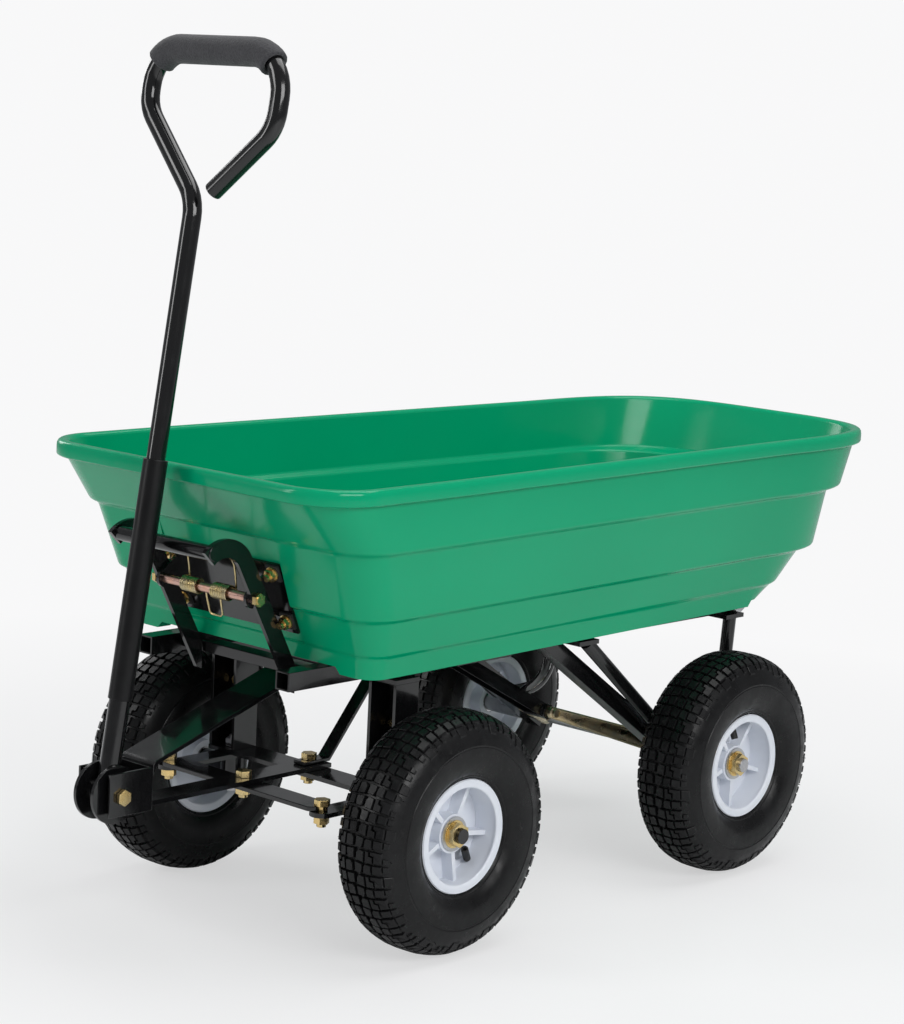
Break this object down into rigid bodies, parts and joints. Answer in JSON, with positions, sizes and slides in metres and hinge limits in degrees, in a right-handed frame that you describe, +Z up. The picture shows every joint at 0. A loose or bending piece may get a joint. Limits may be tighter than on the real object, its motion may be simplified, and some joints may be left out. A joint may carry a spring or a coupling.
{
  "type": "tipping dump cart",
  "caption": "Garden dump cart: moulded tub that tips over the rear of a steel frame, spring latch, steered front wheels, pneumatic tyres and a folding pull handle with a looped grip.",
  "frame": {"origin": "on the ground, under the centre of the cart's overall box", "axes": "-Y to the front (pull handle), +Y to the rear (dumping nose), +X to the right of a person who stands at the handle and faces the cart, +Z up"},
  "size_m": [0.473, 1.12, 0.935],
  "materials": {
    "frame_black": "gloss powder coat",
    "sleeve_black": "satin powder coat",
    "axle_steel": "turned steel",
    "zinc_yellow": "yellow zinc plate",
    "brace_zinc": "yellow zinc plate",
    "rod_copper": "copper-toned plate",
    "spring_wire": "plated spring wire",
    "grip_foam": "textured foam",
    "tub_green": "moulded gloss",
    "pad_rubber": "matte",
    "tyre_rubber": "block tread",
    "rim_white": "moulded white",
    "bearing_steel": "steel shields",
    "valve_rubber": "matte"
  },
  "bodies": {
    "chassis": {"rail_left": "frame_black", "rail_right": "frame_black", "front_bar": "frame_black", "centre_plate": "frame_black", "upper_cross_bar": "frame_black", "lower_cross_bar": "frame_black", "portal_left": "frame_black", "portal_right": "frame_black", "kingpins": "axle_steel", "frame_bolts": "zinc_yellow", "centre_strut": "frame_black", "centre_channel": "frame_black", "axle_braces": "brace_zinc", "frame_bows": "frame_black", "rear_strut_left": "frame_black", "rear_strut_right": "frame_black", "rear_tube_left": "frame_black", "rear_tube_right": "frame_black", "rear_axle": "axle_steel", "rear_axle_nuts": "zinc_yellow", "hinge_rod": "axle_steel"},
    "drawbar": {"drawbar": "frame_black", "drawbar_strap": "frame_black", "clevis_bracket": "frame_black", "drawbar_bolts": "zinc_yellow"},
    "tie_bar": {"tie_bar": "frame_black", "tie_bolts": "zinc_yellow"},
    "knuckle_left": {"knuckle_left": "frame_black", "axle_nuts_left": "zinc_yellow"},
    "knuckle_right": {"knuckle_right": "frame_black", "axle_nuts_right": "zinc_yellow"},
    "handle": {"handle_fork": "frame_black", "handle_sleeve": "sleeve_black", "handle_tube": "frame_black", "hand_grip": "grip_foam"},
    "tub": {"tub": "tub_green", "tub_carriers": "frame_black", "latch_plate": "frame_black", "latch_pads": "pad_rubber", "latch_bolts": "zinc_yellow", "latch_rod": "rod_copper"},
    "latch": {"latch_hooks": "frame_black", "lift_bar": "frame_black", "latch_spring": "spring_wire"},
    "wheel_front_left": {"tyre_front_left": "tyre_rubber", "rim_front_left": "rim_white", "bearings_front_left": "bearing_steel", "valve_front_left": "valve_rubber"},
    "wheel_front_right": {"tyre_front_right": "tyre_rubber", "rim_front_right": "rim_white", "bearings_front_right": "bearing_steel", "valve_front_right": "valve_rubber"},
    "wheel_rear_left": {"tyre_rear_left": "tyre_rubber", "rim_rear_left": "rim_white", "bearings_rear_left": "bearing_steel", "valve_rear_left": "valve_rubber"},
    "wheel_rear_right": {"tyre_rear_right": "tyre_rubber", "rim_rear_right": "rim_white", "bearings_rear_right": "bearing_steel", "valve_rear_right": "valve_rubber"}
  },
  "joints": [
    {"name": "drawbar_steer", "type": "hinge", "parent": "chassis", "child": "drawbar", "pos_m": [0, -0.245, 0.157], "axis": [0, 0, 1], "range_deg": [-12, 12]},
    {"name": "tie_bar_pivot", "type": "hinge", "parent": "drawbar", "child": "tie_bar", "pos_m": [0, -0.341, 0.1517], "axis": [0, 0, 1], "range_deg": [-12, 12]},
    {"name": "knuckle_left_steer", "type": "hinge", "parent": "chassis", "child": "knuckle_left", "pos_m": [-0.1195, -0.245, 0.13], "axis": [0, 0, 1], "range_deg": [-12, 12]},
    {"name": "knuckle_right_steer", "type": "hinge", "parent": "chassis", "child": "knuckle_right", "pos_m": [0.1195, -0.245, 0.13], "axis": [0, 0, 1], "range_deg": [-12, 12]},
    {"name": "handle_fold", "type": "hinge", "parent": "drawbar", "child": "handle", "pos_m": [0, -0.53, 0.176], "axis": [1, 0, 0], "range_deg": [0, 105]},
    {"name": "tub_tip", "type": "hinge", "parent": "chassis", "child": "tub", "pos_m": [0, 0.352, 0.2925], "axis": [-1, 0, 0], "range_deg": [0, 85]},
    {"name": "latch_lift", "type": "hinge", "parent": "tub", "child": "latch", "pos_m": [0, -0.402, 0.3725], "axis": [-1, 0, 0], "range_deg": [0, 16], "stiffness_Nm_per_rad": 1, "springref_deg": -28.65},
    {"name": "wheel_front_left_roll", "type": "hinge", "parent": "knuckle_left", "child": "wheel_front_left", "pos_m": [-0.1955, -0.239, 0.13], "axis": [1, 0, 0], "continuous": true},
    {"name": "wheel_front_right_roll", "type": "hinge", "parent": "knuckle_right", "child": "wheel_front_right", "pos_m": [0.1955, -0.239, 0.13], "axis": [1, 0, 0], "continuous": true},
    {"name": "wheel_rear_left_roll", "type": "hinge", "parent": "chassis", "child": "wheel_rear_left", "pos_m": [-0.1955, 0.245, 0.13], "axis": [1, 0, 0], "continuous": true},
    {"name": "wheel_rear_right_roll", "type": "hinge", "parent": "chassis", "child": "wheel_rear_right", "pos_m": [0.1955, 0.245, 0.13], "axis": [1, 0, 0], "continuous": true}
  ],
  "couplings": [
    {"joint": "tie_bar_pivot", "follows": "drawbar_steer", "ratio": -1},
    {"joint": "knuckle_left_steer", "follows": "drawbar_steer", "ratio": 1},
    {"joint": "knuckle_right_steer", "follows": "drawbar_steer", "ratio": 1}
  ]
}
